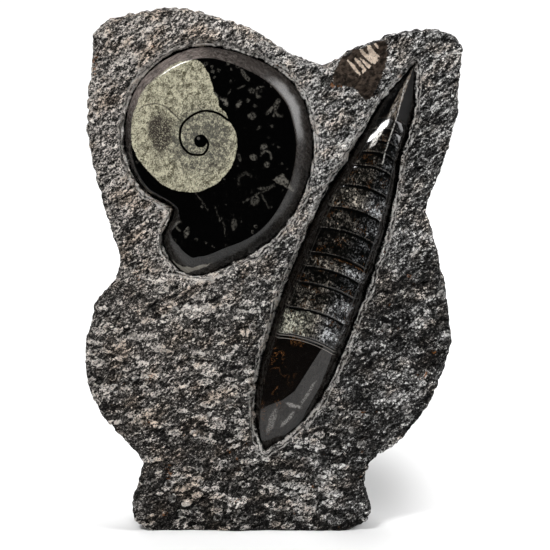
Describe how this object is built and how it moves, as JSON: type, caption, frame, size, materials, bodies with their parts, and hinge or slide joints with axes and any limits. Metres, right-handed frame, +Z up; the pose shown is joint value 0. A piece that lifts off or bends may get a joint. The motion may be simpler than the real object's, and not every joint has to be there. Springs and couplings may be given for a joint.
{
  "type": "orthoceras fossil display",
  "caption": "Upright slab of dark chiselled limestone that stands on its flat foot, with a polished orthoceras and a polished coiled goniatite standing proud of its face.",
  "frame": {"origin": "on the surface that the foot stands on, under the middle of the part's box", "axes": "+Z up the height of the slab, -Y out of its worked face, +X to the right as the face is seen"},
  "size_m": [0.238, 0.0676, 0.33],
  "materials": {
    "matrix": "rough, chiselled",
    "goniatite": "polished",
    "orthoceras": "polished"
  },
  "bodies": {
    "root": {"matrix": "matrix", "goniatite": "goniatite", "orthoceras": "orthoceras"}
  },
  "joints": []
}
